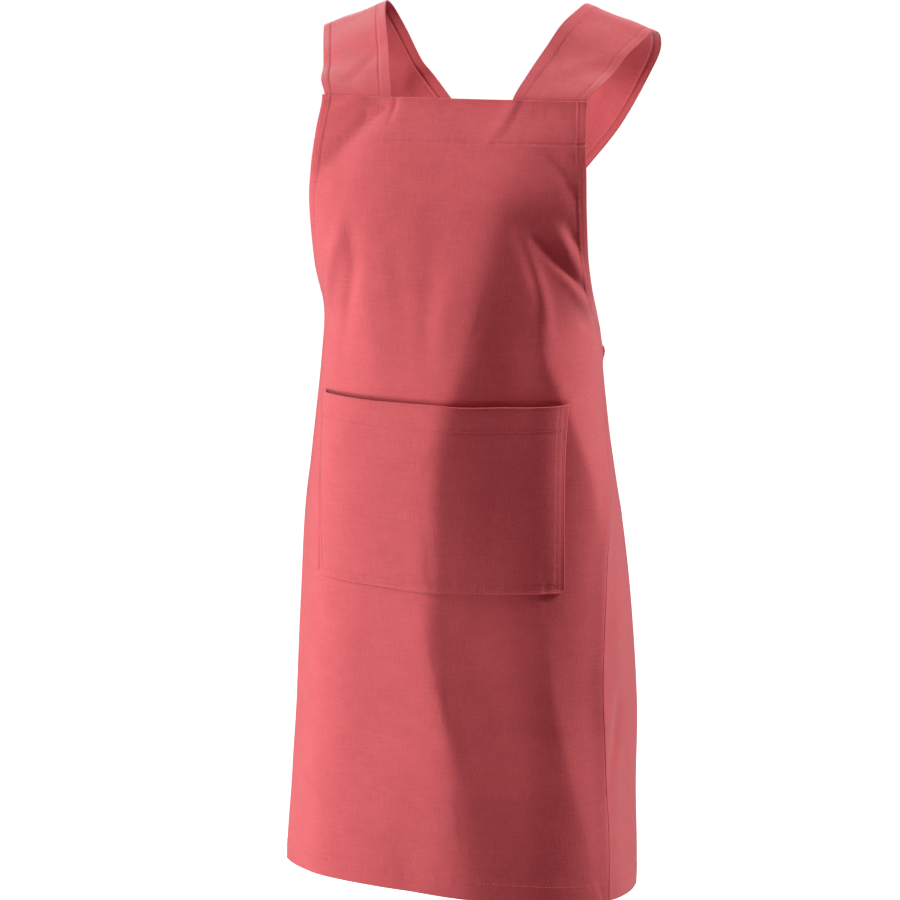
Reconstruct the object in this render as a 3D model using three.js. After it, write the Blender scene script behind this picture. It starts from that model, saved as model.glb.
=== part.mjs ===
// Cross back apron in its worn form, in millimetres.
// +Z is up, the front faces -Y, the wearer's left is +X.
// The origin lies between the shoulders, level with the top of the straps' inner edges.
import * as THREE from 'three';

// Lengths down the apron
const BIB_DROP = 84;
const BODY_LENGTH = 788;
const HEM_RISE = 12;
const HEM_SWAY = 3;
const ARMHOLE_DEPTH = 243;
const BACK_RISE = 28;

// Half girths and depths of the worn form at the hem
const HEM_HALF_WIDTH = 181;
const HEM_FRONT_DEPTH = 111;
const HEM_BACK_DEPTH = 113;
const HEM_SET_FORWARD = 79;

// Cloth widths from the centre front
const BIB_HALF_WIDTH = 135;
const SIDE_HALF_WIDTH = 210;
const BACK_OPENING = 50;

// Straps
const STRAP_WIDTH = 72;
const STRAP_INSET = 1;
const STRAP_TUCK = 36;
const STRAP_BACK_TUCK = 18;
const SHOULDER_SPREAD = 137;
const SHOULDER_SLOPE = 22;
const SHOULDER_DIP = 10;
const BLADE_SPREAD = 104;
const BLADE_DROP = 96;
const CROSSING_GAP = 3.2;

// Pocket
const POCKET_DROP = 287;
const POCKET_HALF_WIDTH = 133;
const POCKET_HEIGHT = 185;
const POCKET_POUCH = 9;
const POCKET_CORNER = 5;

// Cloth and sewing
const CLOTH = 1.2;
const HEM_CLOTH = 2;
const BIB_HEM = 42;
const ARMHOLE_HEM = 11;
const BOTTOM_HEM = 18;
const SEAM_GAP = 0.4;
const LAYER_GAP = 0.7;
const FOLD_DEPTH = 10;

// Mesh steps
const FRONT_COLUMNS = 38;
const ARMHOLE_ROWS = 14;
const SEAM_ROWS = 22;
const BACK_COLUMNS = 12;
const STRAP_COLUMNS = 6;
const STRAP_ROWS = 40;
const POCKET_COLUMNS = 20;
const POCKET_ROWS = 8;
const SECTION_STEPS = 180;
const PROBE = 0.5;

const CORAL = 0xc4555c;
const ROUGHNESS = 0.92;

// Body sections: level is the share of BODY_LENGTH below the bib's top edge.
// Width, front, back and forward are shares of the four sizes at the hem.
const SECTIONS = [
  { level: -0.12, width: 1.033, front: 0.5, back: 0.92, forward: 0.52, power: 3.4 },
  { level: 0, width: 1.033, front: 0.56, back: 0.95, forward: 0.57, power: 3.2 },
  { level: 0.057, width: 0.967, front: 0.685, back: 1.02, forward: 0.73, power: 2.7 },
  { level: 0.133, width: 0.88, front: 0.793, back: 1.06, forward: 0.89, power: 2.4 },
  { level: 0.21, width: 0.81, front: 0.79, back: 1.02, forward: 0.94, power: 2.3 },
  { level: 0.275, width: 0.757, front: 0.8, back: 0.97, forward: 0.96, power: 2.2 },
  { level: 0.327, width: 0.773, front: 0.829, back: 0.94, forward: 0.96, power: 2.2 },
  { level: 0.402, width: 0.81, front: 0.865, back: 0.94, forward: 0.96, power: 2.2 },
  { level: 0.516, width: 0.875, front: 0.91, back: 0.97, forward: 0.9, power: 2.2 },
  { level: 0.643, width: 0.918, front: 0.946, back: 1, forward: 0.85, power: 2.2 },
  { level: 0.77, width: 0.951, front: 0.973, back: 1, forward: 0.85, power: 2.2 },
  { level: 0.872, width: 0.967, front: 0.99, back: 0.99, forward: 0.94, power: 2.2 },
  { level: 1, width: 1, front: 1, back: 0.99, forward: 1, power: 2.2 },
];

// Armhole edge: down is the share of ARMHOLE_DEPTH, out runs from the bib's corner to the side seam.
const ARMHOLE = [
  { down: 0, out: 0 },
  { down: 0.14, out: 0.05 },
  { down: 0.37, out: 0.165 },
  { down: 0.6, out: 0.25 },
  { down: 0.69, out: 0.32 },
  { down: 0.78, out: 0.46 },
  { down: 0.87, out: 0.72 },
  { down: 0.94, out: 0.92 },
  { down: 1, out: 1 },
];

// Side seam: down is the share of the seam's length, out the share of SIDE_HALF_WIDTH.
const SIDE_SEAM = [
  { down: 0, out: 1 },
  { down: 0.09, out: 0.965 },
  { down: 0.21, out: 0.932 },
  { down: 0.37, out: 0.871 },
  { down: 0.6, out: 0.838 },
  { down: 0.78, out: 0.873 },
  { down: 0.88, out: 0.9 },
  { down: 1, out: 0.905 },
];

// Top edge of a back panel: across runs from the side seam to the centre back.
const BACK_TOP = [
  { across: 0, rise: 0 },
  { across: 0.14, rise: -0.12 },
  { across: 0.3, rise: 0.05 },
  { across: 0.46, rise: 0.72 },
  { across: 0.6, rise: 0.95 },
  { across: 1, rise: 1 },
];

// Folds of the worn cloth, each from its first end to its second. The x, bow and width are shares of
// SIDE_HALF_WIDTH: x from the centre front towards +X, bow the bend sideways, width to each side.
// Level is the share of BODY_LENGTH, depth that of FOLD_DEPTH, and a positive depth stands out.
const FOLDS = [
  {
    name: 'left upper pull ridge', x: [0.5, 0.72], level: [0.155, 0.235],
    bow: 0.01, depth: 0.34, width: 0.045,
  },
  { name: 'left pull valley', x: [0.48, 0.73], level: [0.178, 0.24], bow: 0.01, depth: -0.36, width: 0.045 },
  {
    name: 'left lower pull ridge', x: [0.43, 0.66], level: [0.165, 0.285],
    bow: 0.02, depth: 0.3, width: 0.05,
  },
  { name: 'right pull ridge', x: [-0.47, -0.66], level: [0.155, 0.275], bow: 0.02, depth: 0.3, width: 0.06 },
  { name: 'right pull valley', x: [-0.42, -0.55], level: [0.16, 0.29], bow: 0.02, depth: -0.3, width: 0.06 },
  { name: 'under bust ridge', x: [0.18, 0.08], level: [0.15, 0.3], bow: 0, depth: 0.25, width: 0.1 },
  { name: 'under bust valley', x: [0.28, 0.2], level: [0.165, 0.3], bow: 0, depth: -0.25, width: 0.09 },
  { name: 'bib corner crease', x: [0.48, 0.66], level: [0.06, 0.125], bow: -0.03, depth: -0.16, width: 0.04 },
  { name: 'belly ridge', x: [0.02, 0], level: [0.34, 0.66], bow: 0, depth: 0.5, width: 0.2 },
  { name: 'belly left hollow', x: [0.36, 0.42], level: [0.28, 0.62], bow: 0, depth: -0.4, width: 0.17 },
  { name: 'left side ridge', x: [0.48, 0.78], level: [0.24, 0.52], bow: -0.02, depth: 0.4, width: 0.1 },
  { name: 'skirt centre valley', x: [0.02, 0.26], level: [0.5, 0.84], bow: -0.06, depth: -0.4, width: 0.11 },
  { name: 'skirt centre ridge', x: [0.08, 0.36], level: [0.7, 1.02], bow: -0.02, depth: 0.4, width: 0.13 },
  { name: 'skirt left valley', x: [0.48, 0.86], level: [0.73, 1.02], bow: -0.03, depth: -0.62, width: 0.1 },
  { name: 'skirt left ridge', x: [0.6, 0.74], level: [0.7, 0.93], bow: 0, depth: 0.42, width: 0.1 },
  { name: 'skirt right ridge', x: [-0.5, -0.62], level: [0.62, 1.02], bow: 0, depth: 0.3, width: 0.16 },
  { name: 'back left valley', x: [0.96, 1.05], level: [0.72, 0.98], bow: 0, depth: -0.35, width: 0.1 },
  { name: 'back left ridge', x: [1.5, 1.62], level: [0.55, 1.02], bow: 0, depth: 0.6, width: 0.16 },
  { name: 'back right valley', x: [-1.1, -1.2], level: [0.6, 1.02], bow: 0, depth: -0.5, width: 0.13 },
  { name: 'back right ridge', x: [-1.4, -1.5], level: [0.55, 1.02], bow: 0, depth: 0.55, width: 0.16 },
];

// Front run of a strap, from the bib's edge to the shoulder: shares of the rise, of the way back,
// of the way out and of SHOULDER_SLOPE.
const STRAP_FRONT = [
  { rise: 0.25, back: 0.18, out: 0.22, slope: 0.4 },
  { rise: 0.49, back: 0.42, out: 0.44, slope: 0.85 },
  { rise: 0.74, back: 0.62, out: 0.66, slope: 1.05 },
  { rise: 0.91, back: 0.84, out: 0.88, slope: 1.05 },
  { rise: 1, back: 1, out: 1, slope: 0.95 },
];

// Back run of a strap, from the shoulder to the shoulder blade: shares of the fall, the way back,
// the way in and of SHOULDER_SLOPE.
const STRAP_OVER = [
  { fall: 0.06, back: 0.4, inward: -0.05, slope: 0.85 },
  { fall: 0.3, back: 0.78, inward: 0.12, slope: 0.55 },
  { fall: 0.63, back: 0.96, inward: 0.52, slope: 0.2 },
];

// A size at one place of a table, on a smooth curve through its rows.
function read(table, at, key, place) {
  const last = table.length - 1;
  const x = THREE.MathUtils.clamp(place, table[0][at], table[last][at]);
  let i = 0;
  while (i < last - 1 && x > table[i + 1][at]) i += 1;
  const slope = (j) => {
    if (j === 0 || j === last) return 0;
    const before = (table[j][key] - table[j - 1][key]) / (table[j][at] - table[j - 1][at]);
    const after = (table[j + 1][key] - table[j][key]) / (table[j + 1][at] - table[j][at]);
    return before * after > 0 ? (2 * before * after) / (before + after) : 0;
  };
  const span = table[i + 1][at] - table[i][at];
  const t = (x - table[i][at]) / span;
  const rise = table[i + 1][key] - table[i][key];
  const curve = t * t * (3 - 2 * t) * rise;
  const ease = slope(i) * t * (1 - t) * (1 - t) - slope(i + 1) * t * t * (1 - t);
  return table[i][key] + curve + span * ease;
}

const levelOf = (z) => (-z - BIB_DROP) / BODY_LENGTH;
const heightOf = (level) => -BIB_DROP - level * BODY_LENGTH;
const SIDE_TOP = -BIB_DROP - ARMHOLE_DEPTH;
const HEM = heightOf(1);

// One horizontal section as points from the centre front to the centre back, with their arc lengths.
const sectionCache = new Map();
function sectionAt(z) {
  const key = z.toFixed(3);
  if (sectionCache.has(key)) return sectionCache.get(key);
  const level = levelOf(z);
  const width = HEM_HALF_WIDTH * read(SECTIONS, 'level', 'width', level);
  const front = HEM_FRONT_DEPTH * read(SECTIONS, 'level', 'front', level);
  const back = HEM_BACK_DEPTH * read(SECTIONS, 'level', 'back', level);
  const centre = -HEM_SET_FORWARD * read(SECTIONS, 'level', 'forward', level);
  const power = read(SECTIONS, 'level', 'power', level);
  const points = [];
  const arcs = [0];
  for (let i = 0; i <= SECTION_STEPS; i += 1) {
    const angle = (Math.PI * i) / SECTION_STEPS;
    const depth = i * 2 < SECTION_STEPS ? front : back;
    const sides = (Math.abs(Math.sin(angle)) / width) ** power;
    const ends = (Math.abs(Math.cos(angle)) / depth) ** power;
    const radius = (sides + ends) ** (-1 / power);
    points.push(new THREE.Vector2(radius * Math.sin(angle), centre - radius * Math.cos(angle)));
    if (i > 0) arcs.push(arcs[i - 1] + points[i].distanceTo(points[i - 1]));
  }
  const section = { points, arcs, half: arcs[SECTION_STEPS] };
  sectionCache.set(key, section);
  return section;
}

// How far the folds push the cloth out at one place.
function foldAt(arc, z) {
  const across = arc / SIDE_HALF_WIDTH;
  const level = levelOf(z);
  const stretch = BODY_LENGTH / SIDE_HALF_WIDTH;
  let push = 0;
  for (const fold of FOLDS) {
    const runX = fold.x[1] - fold.x[0];
    const runY = (fold.level[1] - fold.level[0]) * stretch;
    const length = Math.hypot(runX, runY);
    const offX = across - fold.x[0];
    const offY = (level - fold.level[0]) * stretch;
    const along = (offX * runX + offY * runY) / (length * length);
    const bow = fold.bow * 4 * along * (1 - along);
    const aside = (offX * runY - offY * runX) / length - bow;
    const reach = THREE.MathUtils.clamp(along, 0, 1);
    const past = ((along - reach) * length) / fold.width;
    const taper = Math.sin(Math.PI * (0.12 + 0.76 * reach));
    const shape = Math.exp(-((aside / fold.width) ** 2) - past * past);
    push += FOLD_DEPTH * fold.depth * taper * shape;
  }
  return push;
}

// The plain body surface: arc runs from the centre front, positive towards +X.
function bodyPoint(arc, z) {
  const { points, arcs, half } = sectionAt(z);
  const wrapped = arc > half ? arc - 2 * half : arc < -half ? arc + 2 * half : arc;
  const side = Math.sign(wrapped) || 1;
  const length = Math.abs(wrapped);
  let low = 0;
  let high = SECTION_STEPS;
  while (high - low > 1) {
    const middle = (low + high) >> 1;
    if (arcs[middle] > length) high = middle;
    else low = middle;
  }
  const t = (length - arcs[low]) / (arcs[high] - arcs[low]);
  const flat = points[low].clone().lerp(points[high], t);
  return new THREE.Vector3(side * flat.x, flat.y, z);
}

// The normal of a surface given as a function of two numbers, by short steps.
function normalOf(surface, a, b) {
  const alongA = surface(a + PROBE, b).sub(surface(a - PROBE, b));
  const alongB = surface(a, b - PROBE).sub(surface(a, b + PROBE));
  return alongB.cross(alongA).normalize();
}

// The inner face of the folded cloth, and a place out from it along its normal.
function clothPoint(arc, z) {
  return bodyPoint(arc, z).addScaledVector(normalOf(bodyPoint, arc, z), foldAt(arc, z));
}
function clothOut(arc, z, out) {
  return clothPoint(arc, z).addScaledVector(normalOf(clothPoint, arc, z), out);
}

// Edges of the panels in cloth widths and heights
function frontEdge(z) {
  if (z >= SIDE_TOP) {
    const down = (-z - BIB_DROP) / ARMHOLE_DEPTH;
    const out = read(ARMHOLE, 'down', 'out', down);
    return THREE.MathUtils.lerp(BIB_HALF_WIDTH, SIDE_HALF_WIDTH, out);
  }
  return SIDE_HALF_WIDTH * read(SIDE_SEAM, 'down', 'out', (SIDE_TOP - z) / (SIDE_TOP - HEM));
}
function hemHeight(arc) {
  const turn = (Math.PI * arc) / sectionAt(HEM).half;
  return HEM + HEM_RISE * Math.max(0, Math.cos(turn)) - HEM_SWAY * Math.sin(turn);
}
const backEdge = (z) => sectionAt(z).half - BACK_OPENING / 2;
function backTop(across) {
  return SIDE_TOP + BACK_RISE * read(BACK_TOP, 'across', 'rise', across);
}

// A closed wall of cloth between an inner and an outer grid of points.
function clothWall(name, columns, rows, place) {
  const positions = [];
  const faces = [];
  const stride = columns + 1;
  const count = stride * (rows + 1);
  const outer = [];
  for (let row = 0; row <= rows; row += 1) {
    for (let column = 0; column <= columns; column += 1) {
      const { inside, outside } = place(column / columns, row / rows);
      positions.push(inside.x, inside.y, inside.z);
      outer.push(outside.x, outside.y, outside.z);
    }
  }
  positions.push(...outer);
  const quad = (a, b, c, d) => faces.push(a, b, c, a, c, d);
  for (let row = 0; row < rows; row += 1) {
    for (let column = 0; column < columns; column += 1) {
      const a = row * stride + column;
      const b = a + 1;
      const c = b + stride;
      const d = a + stride;
      quad(a, b, c, d);
      quad(count + d, count + c, count + b, count + a);
    }
  }
  const rim = [];
  for (let column = 0; column < columns; column += 1) rim.push(column);
  for (let row = 0; row < rows; row += 1) rim.push(row * stride + columns);
  for (let column = columns; column > 0; column -= 1) rim.push(rows * stride + column);
  for (let row = rows; row > 0; row -= 1) rim.push(row * stride);
  rim.forEach((vertex, i) => {
    const next = rim[(i + 1) % rim.length];
    quad(vertex, count + vertex, count + next, next);
  });
  const geometry = new THREE.BufferGeometry();
  geometry.setAttribute('position', new THREE.Float32BufferAttribute(positions, 3));
  geometry.setIndex(faces);
  geometry.computeVertexNormals();
  const material = new THREE.MeshStandardMaterial({ color: CORAL, roughness: ROUGHNESS, metalness: 0 });
  const mesh = new THREE.Mesh(geometry, material);
  mesh.name = name;
  return mesh;
}

// The wall grows from the cloth's thickness to the hem's within a hem's width of an edge.
function thicknessNear(distances) {
  const inHem = distances.some(({ from, hem }) => from < hem);
  return inHem ? HEM_CLOTH : CLOTH;
}

function frontPanel() {
  const rows = ARMHOLE_ROWS + SEAM_ROWS;
  const place = (u, v) => {
    const share = 2 * u - 1;
    const bottom = hemHeight(share * frontEdge(HEM));
    const belowArmhole = (v * rows - ARMHOLE_ROWS) / SEAM_ROWS;
    const z = belowArmhole < 0
      ? THREE.MathUtils.lerp(-BIB_DROP, SIDE_TOP, (v * rows) / ARMHOLE_ROWS)
      : THREE.MathUtils.lerp(SIDE_TOP, bottom, belowArmhole);
    const edge = z >= SIDE_TOP ? frontEdge(z) : frontEdge(z) - SEAM_GAP / 2;
    const arc = share * edge;
    const thick = thicknessNear([
      { from: -BIB_DROP - z, hem: BIB_HEM },
      { from: z - bottom, hem: BOTTOM_HEM },
      { from: z > SIDE_TOP ? edge - Math.abs(arc) : ARMHOLE_HEM, hem: ARMHOLE_HEM },
    ]);
    return { inside: clothPoint(arc, z), outside: clothOut(arc, z, thick) };
  };
  return clothWall('front_panel', FRONT_COLUMNS, rows, place);
}

function backPanel(name, side) {
  const place = (u, v) => {
    const across = side > 0 ? u : 1 - u;
    const top = backTop(across);
    const bottom = hemHeight(side * THREE.MathUtils.lerp(frontEdge(HEM), backEdge(HEM), across));
    const z = THREE.MathUtils.lerp(top, bottom, v);
    const start = frontEdge(Math.min(z, SIDE_TOP)) + SEAM_GAP / 2;
    const arc = THREE.MathUtils.lerp(start, backEdge(z), across);
    const thick = thicknessNear([
      { from: top - z, hem: ARMHOLE_HEM },
      { from: z - bottom, hem: BOTTOM_HEM },
      { from: backEdge(z) - arc, hem: ARMHOLE_HEM },
    ]);
    return { inside: clothPoint(side * arc, z), outside: clothOut(side * arc, z, thick) };
  };
  return clothWall(name, BACK_COLUMNS, SEAM_ROWS, place);
}

// The pocket stands off the front like a pouch at its open top and lies on it at its sewn edges.
function pocket() {
  const top = -BIB_DROP - POCKET_DROP;
  const place = (u, v) => {
    const share = 2 * u - 1;
    const corner = Math.max(0, Math.abs(share) * POCKET_HALF_WIDTH - POCKET_HALF_WIDTH + POCKET_CORNER);
    const lift = POCKET_CORNER - Math.sqrt(Math.max(0, POCKET_CORNER ** 2 - corner ** 2));
    const z = THREE.MathUtils.lerp(top, top - POCKET_HEIGHT + lift, v);
    const arc = share * POCKET_HALF_WIDTH;
    const sides = 1 - Math.abs(share) ** 10;
    const pouch = POCKET_POUCH * sides * (1 - v ** 1.6);
    const under = CLOTH + LAYER_GAP + pouch;
    const thick = v * POCKET_HEIGHT < BOTTOM_HEM ? HEM_CLOTH : CLOTH;
    return { inside: clothOut(arc, z, under), outside: clothOut(arc, z, under + thick) };
  };
  return clothWall('pocket', POCKET_COLUMNS, POCKET_ROWS, place);
}

// A strap as three rails, inner edge, middle and outer edge, through stations from bib to back panel.
function strap(name, side, under) {
  const half = STRAP_WIDTH / 2;
  const bibMiddle = BIB_HALF_WIDTH - STRAP_INSET - half;
  const stations = [];
  const onFront = (z) => [-half, 0, half].map((w) => clothOut(side * (bibMiddle + w), z, -LAYER_GAP));
  stations.push(onFront(-BIB_DROP - STRAP_TUCK));
  stations.push(onFront(-BIB_DROP - STRAP_TUCK / 2));
  stations.push(onFront(-BIB_DROP));

  // Free rows hang their width on the way out and the shoulder's slope.
  const start = stations[2][1];
  const crest = new THREE.Vector3(side * SHOULDER_SPREAD, 0, -SHOULDER_DIP);
  const free = (centre, slope) => {
    const tilt = THREE.MathUtils.degToRad(SHOULDER_SLOPE * slope);
    const out = new THREE.Vector3(side * Math.cos(tilt), 0, -Math.sin(tilt));
    return [-half, 0, half].map((w) => centre.clone().addScaledVector(out, w));
  };
  for (const row of STRAP_FRONT) {
    const centre = new THREE.Vector3(
      THREE.MathUtils.lerp(start.x, crest.x, row.out),
      THREE.MathUtils.lerp(start.y, crest.y, row.back),
      THREE.MathUtils.lerp(start.z, crest.z, row.rise),
    );
    stations.push(free(centre, row.slope));
  }

  // On the back the strap's line is straight in the flat cloth, from blade to the other back panel.
  const sink = under ? CLOTH + CROSSING_GAP : 0;
  const endTop = backTop(1);
  const fall = endTop + BLADE_DROP;
  const endMiddle = -(BACK_OPENING / 2 + half / Math.cos(Math.atan2(BLADE_SPREAD, -fall)));
  const onBack = (share, depth) => {
    const z = THREE.MathUtils.lerp(-BLADE_DROP, endTop, share);
    const middle = THREE.MathUtils.lerp(BLADE_SPREAD, endMiddle, share);
    const run = new THREE.Vector2(endMiddle - BLADE_SPREAD, fall).normalize();
    return [-half, 0, half].map((w) => {
      const acrossBack = middle - run.y * w;
      const height = z + run.x * w;
      const arc = sectionAt(height).half - acrossBack;
      return clothOut(side * arc, height, depth);
    });
  };
  const blade = onBack(0, 0)[1];
  for (const row of STRAP_OVER) {
    const centre = new THREE.Vector3(
      THREE.MathUtils.lerp(crest.x, blade.x, row.inward),
      THREE.MathUtils.lerp(crest.y, blade.y, row.back),
      THREE.MathUtils.lerp(crest.z, blade.z, row.fall),
    );
    stations.push(free(centre, row.slope));
  }
  for (const share of [0, 0.25, 0.5, 0.75]) stations.push(onBack(share, -sink * Math.sin(Math.PI * share)));
  const tuckShare = STRAP_BACK_TUCK / -fall;
  stations.push(onBack(1, -LAYER_GAP - sink / 3));
  stations.push(onBack(1 + tuckShare, -LAYER_GAP - sink / 3));

  const rails = [0, 1, 2].map((i) => {
    const path = stations.map((station) => station[i]);
    return new THREE.CatmullRomCurve3(path, false, 'centripetal');
  });
  const ribbon = (u, v) => {
    const [inner, middle, outer] = rails.map((rail) => rail.getPoint(THREE.MathUtils.clamp(v, 0, 1)));
    const w = 2 * u - 1;
    const point = middle.multiplyScalar(1 - w * w);
    point.addScaledVector(inner, (w * w - w) / 2);
    return point.addScaledVector(outer, (w * w + w) / 2);
  };
  const step = 1 / (4 * STRAP_ROWS);
  const normal = (u, v) => {
    const acrossStep = ribbon(u + step, v).sub(ribbon(u - step, v));
    const alongStep = ribbon(u, v + step).sub(ribbon(u, v - step));
    return acrossStep.cross(alongStep).normalize().multiplyScalar(side);
  };
  const place = (u, v) => {
    const share = side > 0 ? 1 - u : u;
    const outside = ribbon(share, v);
    return { inside: outside.clone().addScaledVector(normal(share, v), -CLOTH), outside };
  };
  return clothWall(name, STRAP_COLUMNS, STRAP_ROWS, place);
}

const apron = new THREE.Group();
apron.add(frontPanel());
apron.add(backPanel('back_panel_left', 1));
apron.add(backPanel('back_panel_right', -1));
apron.add(strap('strap_left', 1, false));
apron.add(strap('strap_right', -1, true));
apron.add(pocket());

export default apron;
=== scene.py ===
"""Cross back apron in worn form: fine cloth, stitches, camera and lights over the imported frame.

Lengths are in millimetres in the frame of the part (+Z up, front faces -Y), and turn to metres
in the meshes. Cloth coordinates are the arc from the centre front, positive towards +X, and the
height z.
"""
import math

import bpy
import numpy as np
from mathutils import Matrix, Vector


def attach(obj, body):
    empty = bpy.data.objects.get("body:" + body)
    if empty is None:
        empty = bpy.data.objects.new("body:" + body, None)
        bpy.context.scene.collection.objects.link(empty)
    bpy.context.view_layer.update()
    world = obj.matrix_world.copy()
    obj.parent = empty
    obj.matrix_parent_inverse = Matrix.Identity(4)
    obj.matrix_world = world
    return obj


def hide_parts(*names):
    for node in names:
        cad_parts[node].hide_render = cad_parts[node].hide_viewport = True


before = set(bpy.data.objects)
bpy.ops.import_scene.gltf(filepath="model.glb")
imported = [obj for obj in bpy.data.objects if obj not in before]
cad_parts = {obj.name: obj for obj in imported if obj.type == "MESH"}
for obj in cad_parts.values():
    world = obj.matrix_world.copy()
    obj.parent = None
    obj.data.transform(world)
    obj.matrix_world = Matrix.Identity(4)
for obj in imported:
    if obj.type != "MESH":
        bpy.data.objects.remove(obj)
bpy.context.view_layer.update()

MM = 0.001

# Lengths down the apron
BIB_DROP = 84
BODY_LENGTH = 788
HEM_RISE = 12
HEM_SWAY = 3
ARMHOLE_DEPTH = 243
BACK_RISE = 28

# Half girths and depths of the worn form at the hem
HEM_HALF_WIDTH = 181
HEM_FRONT_DEPTH = 111
HEM_BACK_DEPTH = 113
HEM_SET_FORWARD = 79

# Cloth widths from the centre front
BIB_HALF_WIDTH = 135
SIDE_HALF_WIDTH = 210
BACK_OPENING = 50
BACK_LEVEL = -600

# Straps
STRAP_WIDTH = 72
STRAP_INSET = 1
STRAP_TUCK = 36
STRAP_BACK_TUCK = 18
SHOULDER_SPREAD = 137
SHOULDER_SLOPE = 22
SHOULDER_DIP = 10
BLADE_SPREAD = 104
BLADE_DROP = 96
CROSSING_GAP = 3.2

# Pocket
POCKET_DROP = 287
POCKET_HALF_WIDTH = 133
POCKET_HEIGHT = 185
POCKET_POUCH = 9
POCKET_CORNER = 5

# Cloth and sewing
CLOTH = 1.2
LAYER_GAP = 0.7
SEAM_GAP = 0.4
SEAM_LAP = 8
SEAM_SINK = 0.5
SEAM_CLOTH = 0.8
BAND_RISE = 0.7
STEP_WIDTH = 0.9
HEM_RELIEF = 0.25
HEM_EASE = 0.5
GROOVE_DEPTH = 0.55
GROOVE_WIDTH = 0.8
EDGE_STITCH = 1.6
BIB_HEM = 40
ARMHOLE_HEM = 9
BOTTOM_HEM = 18
STRAP_NECK_HEM = 13
STRAP_ARM_HEM = 8
STRAP_CLOTH = 0.9 * CLOTH
STRAP_PRESS = 1.5
STRAP_PRESS_LENGTH = 4
SEWN_RELIEF = 0.35
POCKET_HEM = 24
POCKET_STITCH = 3
POCKET_SECOND_STITCH = 8
POCKET_RELIEF = 0.35
MOUTH_DIP = 3.4
MOUTH_WIDTH = 3.4
MOUTH_BELOW = 3
MOUTH_MARGIN = 2
MOUTH_EASE = 8
PUCKER = 0.09
PUCKER_PITCH = 9
PUCKER_FADE = 5
STITCH_LENGTH = 2.4
STITCH_PITCH = 3
STITCH_THICK = 0.24
STITCH_SPREAD = 1.2
STITCH_SIDES = 6

# How far an edge stands proud: by rise, up to reach from it, and down again over fade
BIB_RIM = dict(reach=2.5, rise=0.5, fade=1.5)
SEAM_RIM = dict(reach=2.4, rise=0.15, fade=1.6)
POCKET_RIM = dict(reach=1.8, rise=0.35, fade=1.2)
MOUTH_RIM = dict(reach=2.4, rise=0.4, fade=1.4)

# Spacing of the mesh, and distances of its lines from an edge
GRID = 3.2
POCKET_GRID = 0.8 * GRID
PROBE = 1.0
FAR = 60
EDGE_STEPS = (0, 0.15, 0.4, 0.8, 1.6, 3.2, 5.4, 7.4, 8.5, 9.5, 11, 13.5, 16.5, 20)
NECK_STEPS = (0, 0.15, 0.4, 0.8, 1.6, 3.2, 5.5, 8, 10, 11.4, 12.4, 13.2, 14.2, 16, 18.5)
ARM_STEPS = (0, 0.15, 0.4, 0.8, 1.6, 3.2, 5, 6.4, 7.4, 8.4, 9.6, 11.5, 14)
FOLD_STEPS = (4, 2.4, 1.2, 0.4, -0.4, -1.2, -2.4, -4)
LAP_STEPS = (-SEAM_LAP, -0.6 * SEAM_LAP, -1.6, -0.9, -0.4)
STRAP_END_STEPS = EDGE_STEPS[:6]

# Samples of the worn form, the folds and the straps
SECTION_ANGLES = 721
SECTION_SHARES = 561
SECTION_MARGINS = (20, 30)
FOLD_GRID = 1.5
FOLD_SAMPLES = 25
FOLD_REACH = 3
FOLD_END = 0.1
RELIEF_ARCS = (-320, 321)
RELIEF_TOP = -60
RELIEF_MARGIN = 25
RAIL_SAMPLES = 400
RAIL_PROBE = 0.002
WIDTH_PROBE = 0.02
FRONT_SAMPLES = 400
BACK_SAMPLES = 300


def named(columns, rows):
    """The rows of a table, with their values named."""
    return [dict(zip(columns.split(), row)) for row in rows]


# Body sections: level is the share of BODY_LENGTH below the bib's top edge.
# Width, front, back and forward are shares of the four sizes at the hem.
SECTIONS = named("level width front back forward power", [
    (-0.12, 1.033, 0.5, 0.92, 0.52, 3.4),
    (0, 1.033, 0.56, 0.95, 0.57, 3.2),
    (0.057, 0.967, 0.685, 1.02, 0.73, 2.7),
    (0.133, 0.88, 0.793, 1.06, 0.89, 2.4),
    (0.21, 0.81, 0.79, 1.02, 0.94, 2.3),
    (0.275, 0.757, 0.8, 0.97, 0.96, 2.2),
    (0.327, 0.773, 0.829, 0.94, 0.96, 2.2),
    (0.402, 0.81, 0.865, 0.94, 0.96, 2.2),
    (0.516, 0.875, 0.91, 0.97, 0.9, 2.2),
    (0.643, 0.918, 0.946, 1, 0.85, 2.2),
    (0.77, 0.951, 0.973, 1, 0.85, 2.2),
    (0.872, 0.967, 0.99, 0.99, 0.94, 2.2),
    (1, 1, 1, 0.99, 1, 2.2),
])

# Armhole edge: down is the share of ARMHOLE_DEPTH, out runs from the bib's corner to the side seam.
ARMHOLE = named("down out", [
    (0, 0), (0.14, 0.05), (0.37, 0.165), (0.6, 0.25), (0.69, 0.32), (0.78, 0.46), (0.87, 0.72),
    (0.94, 0.92), (1, 1),
])

# Side seam: down is the share of the seam's length, out the share of SIDE_HALF_WIDTH.
SIDE_SEAM = named("down out", [
    (0, 1), (0.09, 0.965), (0.21, 0.932), (0.37, 0.871), (0.6, 0.838), (0.78, 0.873), (0.88, 0.9),
    (1, 0.905),
])

# Top edge of a back panel: across runs from the side seam to the centre back.
BACK_TOP = named("across rise", [
    (0, 0), (0.14, -0.12), (0.3, 0.05), (0.46, 0.72), (0.6, 0.95), (1, 1),
])

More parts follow.
